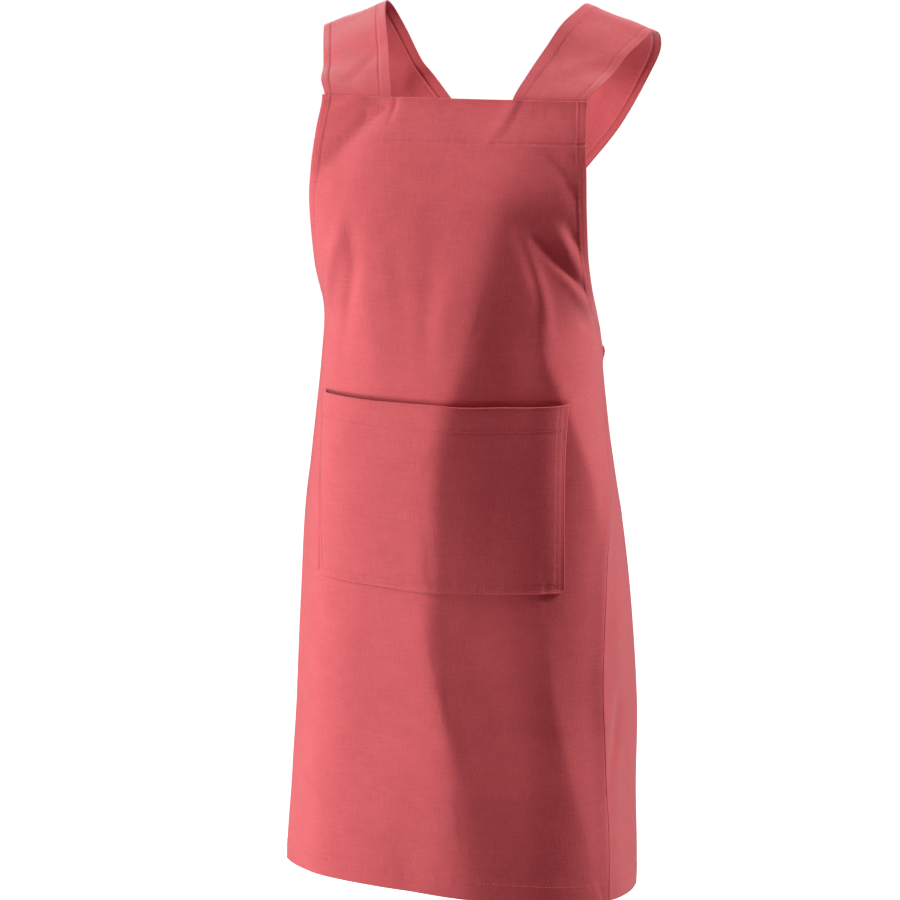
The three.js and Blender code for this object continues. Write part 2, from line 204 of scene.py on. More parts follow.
# Front run of a strap, from the bib's edge to the shoulder, and back run down to the blade.
STRAP_FRONT = named("rise back out slope", [
    (0.25, 0.18, 0.22, 0.4),
    (0.49, 0.42, 0.44, 0.85),
    (0.74, 0.62, 0.66, 1.05),
    (0.91, 0.84, 0.88, 1.05),
    (1, 1, 1, 0.95),
])
STRAP_OVER = named("fall back inward slope", [
    (0.06, 0.4, -0.05, 0.85),
    (0.3, 0.78, 0.12, 0.55),
    (0.63, 0.96, 0.52, 0.2),
])

# Folds of the worn cloth along a path of (arc, z) points. Near and far are the widths on its -X and
# its +X side. A positive depth stands out. A fold with a tip is a ridge rounded only that much.
FOLDS = {
    "left pull ridge": dict(depth=2.6, near=7, far=7, path=[
        (84, -206), (98, -240), (108, -275), (112, -312)]),
    "left pull valley": dict(depth=-2.7, near=4.5, far=5, path=[
        (98, -212), (116, -230), (136, -249), (157, -270)]),
    "left pull upper ridge": dict(depth=2.4, near=6, far=6, path=[
        (116, -198), (134, -227), (151, -258)]),
    "left pull notch": dict(depth=-1.4, near=4, far=5, path=[(129, -198), (141, -222)]),
    "left low pull ridge": dict(depth=1.8, near=7, far=7, path=[
        (119, -230), (141, -260), (172, -293)]),
    "left low pull valley": dict(depth=-0.8, near=6, far=6, path=[(150, -292), (168, -304)]),
    "left side ridge": dict(depth=6.4, near=50, far=48, tip=3, path=[
        (96, -240), (102, -285), (110, -328), (127, -364), (144, -404), (160, -445), (172, -500)]),
    "right pull ridge": dict(depth=3.0, near=9, far=10, path=[
        (-99, -205), (-118, -250), (-136, -296)]),
    "right pull valley": dict(depth=-2.2, near=8, far=10, path=[
        (-90, -200), (-86, -248), (-96, -289), (-101, -335)]),
    "under bust ridge": dict(depth=0.7, near=10, far=10, path=[(26, -240), (14, -280), (8, -330)]),
    "under bust valley": dict(depth=-0.7, near=10, far=10, path=[
        (2, -230), (-4, -285), (-4, -330)]),
    "bust right valley": dict(depth=-0.8, near=12, far=12, path=[
        (-38, -206), (-32, -280), (-24, -325)]),
    "belly right ridge": dict(depth=1.2, near=14, far=14, path=[
        (-78, -248), (-68, -300), (-56, -352)]),
    "bib corner crease": dict(depth=-1.5, near=7, far=5, path=[
        (103, -131), (122, -150), (137, -176)]),
    "bib left corner ray": dict(depth=0.9, near=5, far=5, path=[(106, -95), (130, -125)]),
    "bib left tuck ridge": dict(depth=1.7, near=9, far=4, path=[(69, -76), (62, -98), (50, -120)]),
    "bib right tuck": dict(depth=-1.1, near=3, far=3, path=[(-55, -80), (-56, -94), (-59, -106)]),
    "bib right crease ridge": dict(depth=0.9, near=6, far=8, path=[
        (-90, -78), (-108, -92), (-130, -106)]),
    "bib right crease": dict(depth=-4.0, near=13, far=20, path=[
        (-70, -80), (-83, -106), (-102, -132), (-124, -154)]),
    "bib right narrow crease": dict(depth=-1.5, near=6, far=9, path=[
        (-62, -88), (-82, -104), (-104, -123)]),
    "bib right side crease": dict(depth=-1.3, near=8, far=8, path=[
        (-108, -128), (-128, -150), (-146, -172)]),
    "bib right gutter": dict(depth=-3.8, near=24, far=20, path=[
        (-100, -84), (-108, -112), (-116, -150), (-122, -178)]),
    "bib right side ridge": dict(depth=1.0, near=10, far=10, path=[(-100, -150), (-122, -180)]),
    "bust keel": dict(depth=4.6, near=56, far=40, tip=14, path=[
        (80, -118), (74, -152), (61, -200), (49, -245), (43, -280), (38, -318), (24, -358),
        (12, -400)]),
    "belly keel": dict(depth=7.4, near=80, far=56, tip=5, path=[
        (32, -335), (14, -400), (9, -465), (8, -525), (8, -585), (14, -635)]),
    "belly left hollow": dict(depth=-3.6, near=34, far=36, path=[
        (76, -300), (84, -420), (88, -560)]),
    "skirt centre valley": dict(depth=-1.6, near=10, far=20, path=[
        (8, -480), (9, -560), (14, -620), (28, -680), (44, -728)]),
    "skirt keel": dict(depth=6.0, near=80, far=50, tip=5, path=[
        (2, -560), (4, -600), (12, -645), (24, -704), (30, -745)]),
    "skirt low keel": dict(depth=6.4, near=80, far=50, tip=20, path=[
        (14, -660), (24, -710), (31, -763), (38, -820), (46, -884)]),
    "skirt left ridge": dict(depth=4.8, near=110, far=40, tip=5, path=[
        (114, -590), (119, -650), (130, -702), (146, -762), (168, -830)]),
    "skirt right ridge": dict(depth=2.6, near=34, far=34, path=[
        (-105, -580), (-118, -720), (-130, -880)]),
    "skirt right hem wave": dict(depth=-1.4, near=14, far=14, path=[(-150, -790), (-148, -880)]),
    "skirt front hem wave": dict(depth=-1.2, near=18, far=18, path=[(-18, -800), (-12, -880)]),
    "back left fold": dict(depth=-3.0, near=8, far=10, path=[
        (204, -668), (200, -705), (192, -740)]),
    "back left valley": dict(depth=-2.6, near=18, far=20, path=[
        (210, -640), (222, -780), (226, -880)]),
    "back left ridge": dict(depth=5.6, near=22, far=30, path=[
        (252, -500), (262, -700), (274, -880)]),
    "back right valley": dict(depth=-4.2, near=24, far=24, path=[
        (-222, -540), (-234, -720), (-246, -880)]),
    "back right ridge": dict(depth=5.0, near=24, far=30, path=[
        (-250, -500), (-270, -700), (-290, -880)]),
    "left seam ridge": dict(depth=2.2, near=16, far=16, tip=2, path=[
        (201, -400), (184, -500), (176, -640), (183, -760), (191, -884)]),
    "right seam ridge": dict(depth=2.2, near=16, far=16, tip=2, path=[
        (-201, -400), (-184, -500), (-176, -640), (-183, -760), (-191, -884)]),
    "armhole band end": dict(depth=2.6, near=7, far=8, path=[(207, -330), (222, -336)]),
}


def column(table, key):
    return np.array([row[key] for row in table], float)


def read(table, at, key, place):
    """A size at places of a table, on a smooth curve through its rows."""
    x, y = column(table, at), column(table, key)
    place = np.clip(np.asarray(place, float), x[0], x[-1])
    rises = np.diff(y) / np.diff(x)
    slopes = np.zeros_like(y)
    before, after = rises[:-1], rises[1:]
    same = before * after > 0
    slopes[1:-1][same] = 2 * before[same] * after[same] / (before[same] + after[same])
    return curve_at(x, y, slopes, place)


def curve_at(x, y, slopes, place):
    """A cubic curve through points with given slopes, read at places."""
    i = np.clip(np.searchsorted(x, place, side="right") - 1, 0, len(x) - 2)
    span = x[i + 1] - x[i]
    t = (place - x[i]) / span
    curve = t * t * (3 - 2 * t) * (y[i + 1] - y[i])
    ease = slopes[i] * t * (1 - t) ** 2 - slopes[i + 1] * t * t * (1 - t)
    return y[i] + curve + span * ease


def smooth(x):
    x = np.clip(x, 0, 1)
    return x * x * (3 - 2 * x)


SIDE_TOP = -BIB_DROP - ARMHOLE_DEPTH
HEM = -BIB_DROP - BODY_LENGTH


class Lookup:
    """A function of two numbers kept on a regular grid."""

    def __init__(self, a0, a_step, b0, b_step, values):
        self.a0, self.a_step, self.b0, self.b_step, self.values = a0, a_step, b0, b_step, values

    def __call__(self, a, b):
        rows, columns = self.values.shape[:2]
        fa = np.clip((a - self.a0) / self.a_step, 0, rows - 1.001)
        fb = np.clip((b - self.b0) / self.b_step, 0, columns - 1.001)
        i, j = fa.astype(int), fb.astype(int)
        ta, tb = fa - i, fb - j
        v = self.values
        low = v[i, j] * (1 - tb) + v[i, j + 1] * tb
        high = v[i + 1, j] * (1 - tb) + v[i + 1, j + 1] * tb
        return low * (1 - ta) + high * ta


def body_lookups():
    """The sections' x and y over height and share of the half girth, and the half girths."""
    above, below = SECTION_MARGINS
    z = np.arange(above, HEM - below, -1.0)
    level = (-z - BIB_DROP) / BODY_LENGTH
    width = HEM_HALF_WIDTH * read(SECTIONS, "level", "width", level)[:, None]
    front = HEM_FRONT_DEPTH * read(SECTIONS, "level", "front", level)[:, None]
    back = HEM_BACK_DEPTH * read(SECTIONS, "level", "back", level)[:, None]
    centre = -HEM_SET_FORWARD * read(SECTIONS, "level", "forward", level)[:, None]
    power = read(SECTIONS, "level", "power", level)[:, None]
    angle = np.linspace(0, math.pi, SECTION_ANGLES)[None, :]
    depth = np.where(angle < math.pi / 2, front, back)
    sides = (np.abs(np.sin(angle)) / width) ** power
    ends = (np.abs(np.cos(angle)) / depth) ** power
    radius = (sides + ends) ** (-1 / power)
    x, y = radius * np.sin(angle), centre - radius * np.cos(angle)
    arcs = np.zeros_like(x)
    arcs[:, 1:] = np.cumsum(np.hypot(np.diff(x), np.diff(y)), axis=1)
    half = arcs[:, -1]
    shares = np.linspace(0, 1, SECTION_SHARES)
    across = np.array([np.interp(shares * h, a, p) for h, a, p in zip(half, arcs, x)])
    forward = np.array([np.interp(shares * h, a, p) for h, a, p in zip(half, arcs, y)])
    grid = (z[0], -1.0, 0, shares[1])
    return Lookup(*grid, across), Lookup(*grid, forward), z, half


BODY_X, BODY_Y, BODY_Z, BODY_HALF = body_lookups()


def half_girth(z):
    return np.interp(-np.asarray(z, float), -BODY_Z, BODY_HALF)


def body_point(arc, z):
    share = np.mod(arc / half_girth(z) + 1, 2) - 1
    side = np.where(share < 0, -1.0, 1.0)
    return np.stack([side * BODY_X(z, np.abs(share)), BODY_Y(z, np.abs(share)), z + 0 * arc], -1)


def fold_lookup():
    """The relief of all the folds, each along a smooth curve through its path."""
    arcs = np.arange(*RELIEF_ARCS, FOLD_GRID)
    heights = np.arange(RELIEF_TOP, HEM - RELIEF_MARGIN, -FOLD_GRID)
    relief = np.zeros((len(heights), len(arcs)))
    for fold in FOLDS.values():
        path = np.array(fold["path"], float)
        ends = np.r_[0, np.cumsum(np.hypot(*np.diff(path, axis=0).T))]
        samples = np.linspace(0, ends[-1], FOLD_SAMPLES)
        line = np.stack([curve_through(ends, path[:, k], samples) for k in (0, 1)], -1)
        reach = FOLD_REACH * max(fold["near"], fold["far"])
        (left, low), (right, high) = line.min(0) - reach, line.max(0) + reach
        rows = np.where((heights < high) & (heights > low))[0]
        columns = np.where((arcs > left) & (arcs < right))[0]
        if not len(rows) or not len(columns):
            continue
        a, z = np.meshgrid(arcs[columns], heights[rows])
        best = np.full(a.shape, 1e9)
        aside, along = np.zeros(a.shape), np.zeros(a.shape)
        for i in range(len(line) - 1):
            p, run = line[i], line[i + 1] - line[i]
            length = math.hypot(*run)
            t = ((a - p[0]) * run[0] + (z - p[1]) * run[1]) / length**2
            t_in = np.clip(t, 0, 1)
            gap = np.hypot(a - p[0] - t_in * run[0], z - p[1] - t_in * run[1])
            side = (run[1] * (a - p[0]) - run[0] * (z - p[1])) / length
            better = gap < best
            best[better] = gap[better]
            aside[better] = -side[better]
            along[better] = ((i + t_in) / (len(line) - 1))[better]
        width = np.where(aside < 0, fold["near"], fold["far"])
        taper = np.sin(math.pi * (FOLD_END + (1 - 2 * FOLD_END) * along))
        tip = fold.get("tip")
        if tip:
            shape = (1 - np.clip((np.hypot(best, tip) - tip) / width, 0, 1)) ** 2
        else:
            shape = np.exp(-((best / width) ** 2))
        part = fold["depth"] * taper * shape * smooth((reach - best) / width)
        relief[np.ix_(rows, columns)] += part
    return Lookup(heights[0], -FOLD_GRID, arcs[0], FOLD_GRID, relief)


def curve_through(places, values, samples):
    """A smooth curve through the values of a fold's path."""
    if len(values) > 2:
        slopes = np.gradient(values, places)
    else:
        slopes = np.full(2, np.diff(values)[0] / np.diff(places)[0])
    return curve_at(places, values, slopes, samples)


FOLD_RELIEF = fold_lookup()


def normal_of(surface, a, b, probe=PROBE):
    """The outward normal of a surface given as a function of two numbers."""
    along_a = surface(a + probe, b) - surface(a - probe, b)
    along_b = surface(a, b - probe) - surface(a, b + probe)
    out = np.cross(along_b, along_a)
    return out / np.linalg.norm(out, axis=-1, keepdims=True)


def cloth_point(arc, z):
    half = half_girth(z)
    push = FOLD_RELIEF(z, np.mod(arc + half, 2 * half) - half)[..., None]
    return body_point(arc, z) + normal_of(body_point, arc, z) * push


def front_edge(z):
    """The arc of the front's edge: the armhole's above SIDE_TOP, the side seam's below."""
    out = read(ARMHOLE, "down", "out", (-z - BIB_DROP) / ARMHOLE_DEPTH)
    armhole = BIB_HALF_WIDTH + (SIDE_HALF_WIDTH - BIB_HALF_WIDTH) * out
    seam = SIDE_HALF_WIDTH * read(SIDE_SEAM, "down", "out", (SIDE_TOP - z) / (SIDE_TOP - HEM))
    return np.where(z >= SIDE_TOP, armhole, seam)


def edge_stretch(z):
    """How much longer the armhole's edge is than its height, at a height."""
    slope = (front_edge(z - 1) - front_edge(z + 1)) / 2
    return np.sqrt(1 + np.where(z > SIDE_TOP + 1, slope, 0) ** 2)


def hem_height(arc):
    turn = math.pi * arc / half_girth(HEM)
    return HEM + HEM_RISE * np.maximum(0, np.cos(turn)) - HEM_SWAY * np.sin(turn)


def back_edge(z):
    return half_girth(z) - BACK_OPENING / 2


def back_top(across):
    return SIDE_TOP + BACK_RISE * read(BACK_TOP, "across", "rise", across)


def groove(distance, at, depth=GROOVE_DEPTH, width=GROOVE_WIDTH):
    """A row of stitches pulls the cloth in at a distance from an edge."""
    return -depth * np.exp(-(((distance - at) / width) ** 2))


def proud(distance, reach, rise, fade=1):
    """Cloth stands proud by a rise up to a reach from an edge, and eases down over a fade."""
    return rise * smooth((reach - distance) / fade)


def band(distance, hem, rise=BAND_RISE):
    """A folded hem stands proud up to its width from the edge."""
    return proud(distance, hem + STEP_WIDTH / 2, rise, STEP_WIDTH)


def pucker(along, distance, hem):
    """Small waves of two pitches along a stitched hem, fading away from it."""
    turn = 2 * math.pi * along / PUCKER_PITCH
    wave = np.sin(turn) + 0.6 * np.sin(turn / 1.63 + 1.3)
    return PUCKER * wave * np.exp(-(((distance - hem) / PUCKER_FADE) ** 2))


def quads(index):
    corners = [index[:-1, :-1], index[1:, :-1], index[1:, 1:], index[:-1, 1:]]
    return np.stack(corners, -1).reshape(-1, 4)


def closed_cloth(name, outside, inside, cloth_uv):
    """A closed thin mesh from an outer and an inner grid of points, which share their border."""
    rows, columns = outside.shape[:2]
    index = np.arange(rows * columns).reshape(rows, columns)
    border = np.zeros((rows, columns), bool)
    border[[0, -1], :] = True
    border[:, [0, -1]] = True
    middle = (outside + inside) / 2
    outer = np.where(border[..., None], middle, outside).reshape(-1, 3)
    inner_index = index.copy()
    inner_index[~border] = rows * columns + np.arange((~border).sum())
    points = np.vstack([outer, inside[~border]]) * MM
    faces = np.vstack([quads(index), quads(inner_index)[:, ::-1]])
    uv_rows = np.vstack([cloth_uv.reshape(-1, 2), cloth_uv[~border]]) * MM
    return mesh_object(name, points, faces, uv_rows)


def mesh_object(name, points, faces, uv_rows=None):
    """A smooth mesh object in metres, with its cloth coordinates as UVs."""
    mesh = bpy.data.meshes.new(name)
    mesh.vertices.add(len(points))
    mesh.vertices.foreach_set("co", points.astype(np.float32).ravel())
    size = faces.shape[1]
    mesh.loops.add(faces.size)
    mesh.loops.foreach_set("vertex_index", faces.astype(np.int32).ravel())
    mesh.polygons.add(len(faces))
    mesh.polygons.foreach_set("loop_start", np.arange(0, faces.size, size, dtype=np.int32))
    mesh.polygons.foreach_set("use_smooth", np.ones(len(faces), bool))
    if uv_rows is not None:
        layer = mesh.uv_layers.new(name="cloth")
        layer.data.foreach_set("uv", uv_rows[faces.ravel()].astype(np.float32).ravel())
    mesh.update()
    mesh.validate()
    piece = bpy.data.objects.new(name, mesh)
    bpy.context.scene.collection.objects.link(piece)
    return piece


def rounded(distance, thick):
    """The share of the thickness left near a folded edge, which is rounded off."""
    reach = np.clip(distance / (thick / 2), 0, 1)
    return np.sqrt(1 - (1 - reach) ** 2)


def spread(start, end, spacing):
    """Evenly spaced shares from 0 to 1 for a length, both ends left out."""
    count = max(2, int(round(abs(end - start) / spacing)))
    return np.linspace(0, 1, count + 1)[1:-1]


def along_grid(grid, at, down):
    """Points and outward normals along a column (down) or a row, whose index has a fraction."""
    lines = grid if down else grid.swapaxes(0, 1)
    i = int(at)
    points = lines[:, i] * (1 + i - at) + lines[:, i + 1] * (at - i)
    ahead, aside = np.gradient(points, axis=0), lines[:, i + 1] - lines[:, i]
    normals = np.cross(ahead, aside) if down else np.cross(aside, ahead)
    return points, normals / np.linalg.norm(normals, axis=1, keepdims=True)


def place_of(steps, distance):
    """The index, with a fraction, at which a rising list of distances reaches one."""
    return float(np.interp(distance, steps, np.arange(len(steps))))


# A stitch from end to end: along is the share of its length, swell and lift are shares of its
# thickness.
STITCH_PROFILE = named("along swell lift", [
    (0, 0.25, -0.7),
    (0.2, 0.85, 0.5),
    (0.5, 1, 0.8),
    (0.8, 0.85, 0.5),
    (1, 0.25, -0.7),
])


def thread_rings(points, normals):
    """Rings of points round each stitch of a line, whose ends dip into the cloth."""
    length = np.r_[0, np.cumsum(np.linalg.norm(np.diff(points, axis=0), axis=1))]
    centres = np.arange(STITCH_PITCH, length[-1] - STITCH_PITCH / 2, STITCH_PITCH)
    places = centres[:, None] + (column(STITCH_PROFILE, "along") - 0.5) * STITCH_LENGTH

    def at_places(values):
        return np.stack([np.interp(places, length, values[:, k]) for k in range(3)], -1)

    line, up = at_places(points), at_places(normals)
    up = up / np.linalg.norm(up, axis=-1, keepdims=True)
    ahead = line[:, -1:] - line[:, :1]
    aside = np.cross(ahead, up)
    aside = aside / np.linalg.norm(aside, axis=-1, keepdims=True)
    swell = (column(STITCH_PROFILE, "swell") * STITCH_THICK)[None, :, None, None]
    lift = (column(STITCH_PROFILE, "lift") * STITCH_THICK)[None, :, None, None]
    turn = np.linspace(0, 2 * math.pi, STITCH_SIDES, endpoint=False)[None, None, :, None]
    round_it = np.cos(turn) * aside[:, :, None] * STITCH_SPREAD + np.sin(turn) * up[:, :, None]
    return line[:, :, None] + up[:, :, None] * lift + round_it * swell


def stitches(name, lines):
    """Lockstitches along the lines of a piece, joined into one mesh."""
    rings = np.concatenate([thread_rings(*line) for line in lines])
    count, stations = rings.shape[:2]
    index = np.arange(rings[..., 0].size).reshape(count, stations, STITCH_SIDES)
    after = np.roll(index, -1, axis=2)
    a, b = index[:, :-1], after[:, :-1]
    c, d = index[:, 1:], after[:, 1:]
    sides = np.stack([a, c, d, b], -1).reshape(-1, 4)
    caps = [index[:, 0, [0, 1, 2, 3]], index[:, 0, [0, 3, 4, 5]]]
    caps += [index[:, -1, [3, 2, 1, 0]], index[:, -1, [5, 4, 3, 0]]]
    piece = mesh_object(name, rings.reshape(-1, 3) * MM, np.vstack([sides] + caps))
    piece.data.materials.append(THREAD)
    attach(piece, "root")
    return piece


def faces_of(surface, normal, out, thick, edge_distance):
    """Outer and inner points of cloth whose outer face stands off a surface by out."""
    half = rounded(edge_distance, thick) * thick / 2
    centre = out - thick / 2
    outside = surface + normal * (centre + half)[..., None]
    return outside, surface + normal * (centre - half)[..., None]


def wall(arc, z, out, thick, edge_distance):
    """Outer and inner points of cloth on the body."""
    return faces_of(cloth_point(arc, z), normal_of(cloth_point, arc, z), out, thick, edge_distance)


def front_panel():
    steps = np.array(EDGE_STEPS)
    laps = np.array(LAP_STEPS)
    sides = spread(0, 2 * SIDE_HALF_WIDTH, GRID)
    top = -BIB_DROP - steps
    near_hem = -BIB_DROP - BIB_HEM + np.array(FOLD_STEPS)
    upper = spread(top[-1], near_hem[0], GRID)
    low = spread(near_hem[-1], SIDE_TOP, GRID)
    above_hem = top[-1] + upper * (near_hem[0] - top[-1])
    below_hem = near_hem[-1] + low * (SIDE_TOP - near_hem[-1])
    fixed = np.concatenate([top, above_hem, near_hem, below_hem, [SIDE_TOP]])
    skirt = np.r_[spread(SIDE_TOP, HEM + steps[-1], GRID), 1]

    def columns_at(z):
        """Arcs across the panel at a height, in to the armhole's edge or past the side seam."""
        armhole = z > SIDE_TOP - 0.01
        lap, seam = (0 * laps, 0) if armhole else (laps, SEAM_GAP / 2)
        right = front_edge(z) - seam - np.concatenate([lap, steps * edge_stretch(z)])
        inner = right[-1]
        return np.concatenate([-right, -inner + sides * 2 * inner, right[::-1]])

    arcs = [columns_at(z) for z in fixed]
    heights = [np.full_like(row, z) for row, z in zip(arcs, fixed)]
    for share in skirt:
        arcs.append(columns_at(SIDE_TOP + share * (HEM + HEM_RISE + steps[-1] - SIDE_TOP)))
        heights.append(SIDE_TOP + share * (hem_height(arcs[-1]) + steps[-1] - SIDE_TOP))
    for step in steps[-2::-1]:
        arcs.append(columns_at(HEM + HEM_RISE + step))
        heights.append(hem_height(arcs[-1]) + step)
    arc, z = np.array(arcs), np.array(heights)

    from_top = -BIB_DROP - z
    from_hem = z - hem_height(arc)
    inset = front_edge(z) - np.abs(arc)
    from_arm = np.where(z >= SIDE_TOP - 0.01, inset / edge_stretch(z), FAR)
    past_seam = np.where(z < SIDE_TOP - 0.01, SEAM_GAP / 2 - inset, -FAR)
    thick = CLOTH + band(from_arm, ARMHOLE_HEM, rise=0.5)
    out = CLOTH + band(from_arm, ARMHOLE_HEM) + groove(from_arm, ARMHOLE_HEM - EDGE_STITCH)
    out = out + groove(from_top, BIB_HEM) + groove(from_hem, BOTTOM_HEM)
    out = out + proud(from_top, **BIB_RIM) + proud(from_hem, BOTTOM_HEM + HEM_EASE, HEM_RELIEF)
    out = out + pucker(z, from_arm, ARMHOLE_HEM) + pucker(arc, from_top, BIB_HEM)
    out = out + pucker(arc, from_hem, BOTTOM_HEM)
    lapped = smooth((past_seam + 0.25) / 0.6)
    out = out * (1 - lapped) - lapped * SEAM_SINK
    thick = thick * (1 - lapped) + lapped * SEAM_CLOTH
    # The cloth dips in where the pocket's mouth stands off it.
    from_pocket_side = POCKET_HALF_WIDTH + MOUTH_MARGIN - np.abs(arc)
    across_mouth = smooth(from_pocket_side / MOUTH_EASE)
    below_mouth = across_mouth * (z + BIB_DROP + POCKET_DROP + MOUTH_BELOW)
    behind = np.exp(-((below_mouth / MOUTH_WIDTH) ** 2)) * (from_pocket_side > 0)
    out = out - MOUTH_DIP * behind * across_mouth
    edges = edge_near(from_top, from_hem, from_arm, SEAM_LAP - past_seam)
    outside, inside = wall(arc, z, out, thick, edges)

    seam = len(laps)
    last = arc.shape[1] - 1
    beside_armhole = outside[3 : len(fixed)]
    within_seams = outside[:, seam + 2 : -seam - 2]
    arm = seam + place_of(steps, ARMHOLE_HEM - EDGE_STITCH)
    lines = [
        along_grid(beside_armhole, arm, True),
        along_grid(beside_armhole, last - arm, True),
        along_grid(within_seams, place_of(-fixed, BIB_DROP + BIB_HEM), False),
        along_grid(within_seams, len(arc) - 1 - place_of(steps, BOTTOM_HEM), False),
    ]
    return closed_cloth("front_panel_cloth", outside, inside, np.stack([arc, z], -1)), lines


def edge_near(*distances):
    """The distance to the nearest of several edges."""
    return np.maximum(np.minimum.reduce([np.asarray(d, float) for d in distances]), 0)


def back_panel(name, side):
    steps = np.array(EDGE_STEPS)
    middle = spread(SIDE_HALF_WIDTH, back_edge(BACK_LEVEL), GRID)
    tall = spread(SIDE_TOP, HEM, GRID)
    arcs, heights = [], []
    offsets = np.concatenate([steps, np.full(len(tall), steps[-1]), steps[::-1]])
    shares = np.concatenate([np.zeros(len(steps)), tall, np.ones(len(steps))])
    for offset, share in zip(offsets, shares):
        z_mid = SIDE_TOP + (HEM - SIDE_TOP) * share
        start, end = front_edge(min(z_mid, SIDE_TOP)), back_edge(z_mid)
        near, far = start + steps, end - steps[::-1]
        row = np.concatenate([near, near[-1] + middle * (far[0] - near[-1]), far])
        across = (row - start) / (end - start)
        high, low = back_top(across) - offset, hem_height(side * row) + offset
        arcs.append(row)
        heights.append(high + share * (low - high))
    arc, z = np.array(arcs), np.array(heights)
    # The seam's run follows the height of each point.
    start = front_edge(np.minimum(z, SIDE_TOP))
    end = back_edge(z)
    row_start, row_end = arc[:, :1], arc[:, -1:]
    across = (arc - row_start) / (row_end - row_start)
    arc = start + across * (end - start)
    from_seam, from_back = arc - start, end - arc
    from_top, from_hem = back_top(across) - z, z - hem_height(side * arc)
    turned = ARMHOLE_HEM - EDGE_STITCH
    out = CLOTH + band(from_top, ARMHOLE_HEM) + groove(from_top, turned)
    out = out + band(from_back, ARMHOLE_HEM, rise=0.5) + groove(from_back, turned)
    out = out + groove(from_hem, BOTTOM_HEM) + proud(from_hem, BOTTOM_HEM + HEM_EASE, HEM_RELIEF)
    out = out + proud(from_seam, **SEAM_RIM) + pucker(arc, from_top, ARMHOLE_HEM)
    out = out + pucker(z, from_back, ARMHOLE_HEM) + pucker(arc, from_hem, BOTTOM_HEM)
    thick = CLOTH + proud(from_top, ARMHOLE_HEM, rise=0.4)
    edges = edge_near(from_seam, from_back, from_top, from_hem)
    outside, inside = wall(side * arc, z, out, thick, edges)
    last = arc.shape[1] - 1
    back = last - place_of(steps, turned)
    if side < 0:
        outside, inside, arc, z = outside[:, ::-1], inside[:, ::-1], arc[:, ::-1], z[:, ::-1]
        back = last - back
    lines = [
        along_grid(outside, back, True),
        along_grid(outside, place_of(steps, turned), False),
        along_grid(outside, len(arc) - 1 - place_of(steps, BOTTOM_HEM), False),
    ]
    return closed_cloth(name, outside, inside, np.stack([side * arc, z], -1)), lines


def pocket_out(share, down):
    """How far the pocket's inner face stands off the front, at shares across and down it."""
    sides = 1 - np.abs(share) ** 10
    return CLOTH + LAYER_GAP + POCKET_POUCH * sides * (1 - down**1.6)


def pocket():
    steps = np.array(EDGE_STEPS)
    top = -BIB_DROP - POCKET_DROP
    inner = POCKET_HALF_WIDTH - steps[-1]
    tall = POCKET_HEIGHT - 2 * steps[-1]
    middle = -inner + spread(-inner, inner, POCKET_GRID) * 2 * inner
    upright = steps[-1] + spread(0, tall, POCKET_GRID) * tall
    columns = np.concatenate([steps - POCKET_HALF_WIDTH, middle, POCKET_HALF_WIDTH - steps[::-1]])
    rows = np.concatenate([steps, upright, POCKET_HEIGHT - steps[::-1]])
    across, down = np.meshgrid(columns, rows)
    corner = np.maximum(0, np.abs(across) - POCKET_HALF_WIDTH + POCKET_CORNER)
    lift = POCKET_CORNER - np.sqrt(np.maximum(0, POCKET_CORNER**2 - corner**2))
    depth = POCKET_HEIGHT - lift
    z = top - down / POCKET_HEIGHT * depth
    from_side, from_bottom = POCKET_HALF_WIDTH - np.abs(across), z - top + depth
    from_top, from_sewn = top - z, np.minimum(from_side, from_bottom)
    out = pocket_out(across / POCKET_HALF_WIDTH, down / POCKET_HEIGHT) + CLOTH
    out = out + groove(from_top, POCKET_HEM)
    out = out + proud(from_top, POCKET_HEM + HEM_EASE, POCKET_RELIEF)
    out = out + groove(from_sewn, POCKET_STITCH) + groove(from_sewn, POCKET_SECOND_STITCH)
    out = out + proud(from_sewn, **POCKET_RIM) + proud(from_top, **MOUTH_RIM)
    out = out + pucker(across, from_bottom, POCKET_SECOND_STITCH)
    out = out + pucker(z, from_side, POCKET_SECOND_STITCH)
    edges = edge_near(from_side, from_bottom, from_top)
    outside, inside = wall(across, z, out, CLOTH, edges)
    lines = [along_grid(outside, place_of(rows, POCKET_HEM), False)]
    for distance in (POCKET_STITCH, POCKET_SECOND_STITCH):
        at = place_of(steps, distance)
        last, foot = outside.shape[1] - 1, len(outside) - 1 - at
        near, upper = int(at), outside[: int(foot) + 2]
        lines += [along_grid(upper, at, True), along_grid(upper, last - at, True)]
        lines.append(along_grid(outside[:, near : last - near + 1], foot, False))
    return closed_cloth("pocket_cloth", outside, inside, np.stack([across, z], -1)), lines


def rail(stations, samples):
    """A centripetal curve through the stations, even steps from one station to the next."""
    p = np.vstack([2 * stations[0] - stations[1], stations, 2 * stations[-1] - stations[-2]])
    count = len(stations)
    place = np.clip(samples, 0, 1) * (count - 1)
    i = np.clip(place.astype(int), 0, count - 2)
    t = (place - i)[:, None]
    p0, p1, p2, p3 = p[i], p[i + 1], p[i + 2], p[i + 3]
    squares = [np.sum((b - a) ** 2, -1) for a, b in ((p0, p1), (p1, p2), (p2, p3))]
    d0, d1, d2 = (np.maximum(square, 1e-8)[:, None] ** 0.25 for square in squares)
    t1 = ((p1 - p0) / d0 - (p2 - p0) / (d0 + d1) + (p2 - p1) / d1) * d1
    t2 = ((p2 - p1) / d1 - (p3 - p1) / (d1 + d2) + (p3 - p2) / d2) * d1
    way = p2 - p1
    return p1 + t1 * t + (3 * way - 2 * t1 - t2) * t**2 + (t1 + t2 - 2 * way) * t**3


